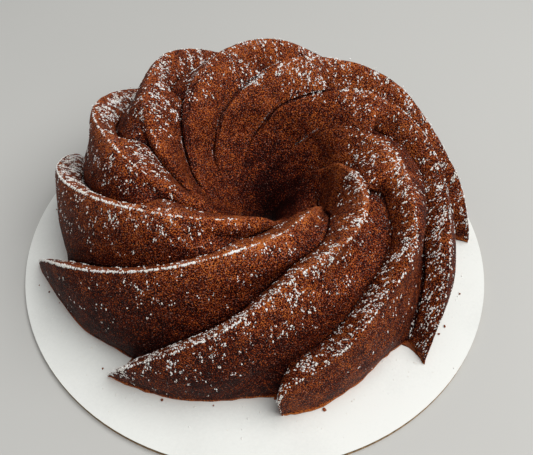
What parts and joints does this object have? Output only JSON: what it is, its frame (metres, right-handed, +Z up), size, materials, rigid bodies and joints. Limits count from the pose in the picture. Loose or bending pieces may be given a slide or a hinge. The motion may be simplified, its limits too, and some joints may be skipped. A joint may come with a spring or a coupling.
{
  "type": "swirled ring cake on a cake board",
  "caption": "Ring cake with overlapping swirled blades and a funnel-shaped centre hole, dusted with icing sugar, on a thin round corrugated board.",
  "frame": {"origin": "centre of the cake board's underside, where it rests on a table", "axes": "+Z up, -Y the front of the cake as it is usually seen, +X to the right seen from the front"},
  "size_m": [0.254, 0.2544, 0.0755],
  "materials": {
    "baked_crust": "matte",
    "white_coated_paper": "matte",
    "kraft_fluting": "matte",
    "kraft_liner": "matte"
  },
  "bodies": {
    "cake_board": {"board_bottom_liner": "kraft_liner", "board_fluting": "kraft_fluting", "board_top_liner": "white_coated_paper"},
    "cake": {"sponge": "baked_crust"}
  },
  "joints": [
    {"name": "cake_lift", "type": "slide", "parent": "cake_board", "child": "cake", "axis": [0, 0, 1], "range_m": [0, 0.1]}
  ]
}
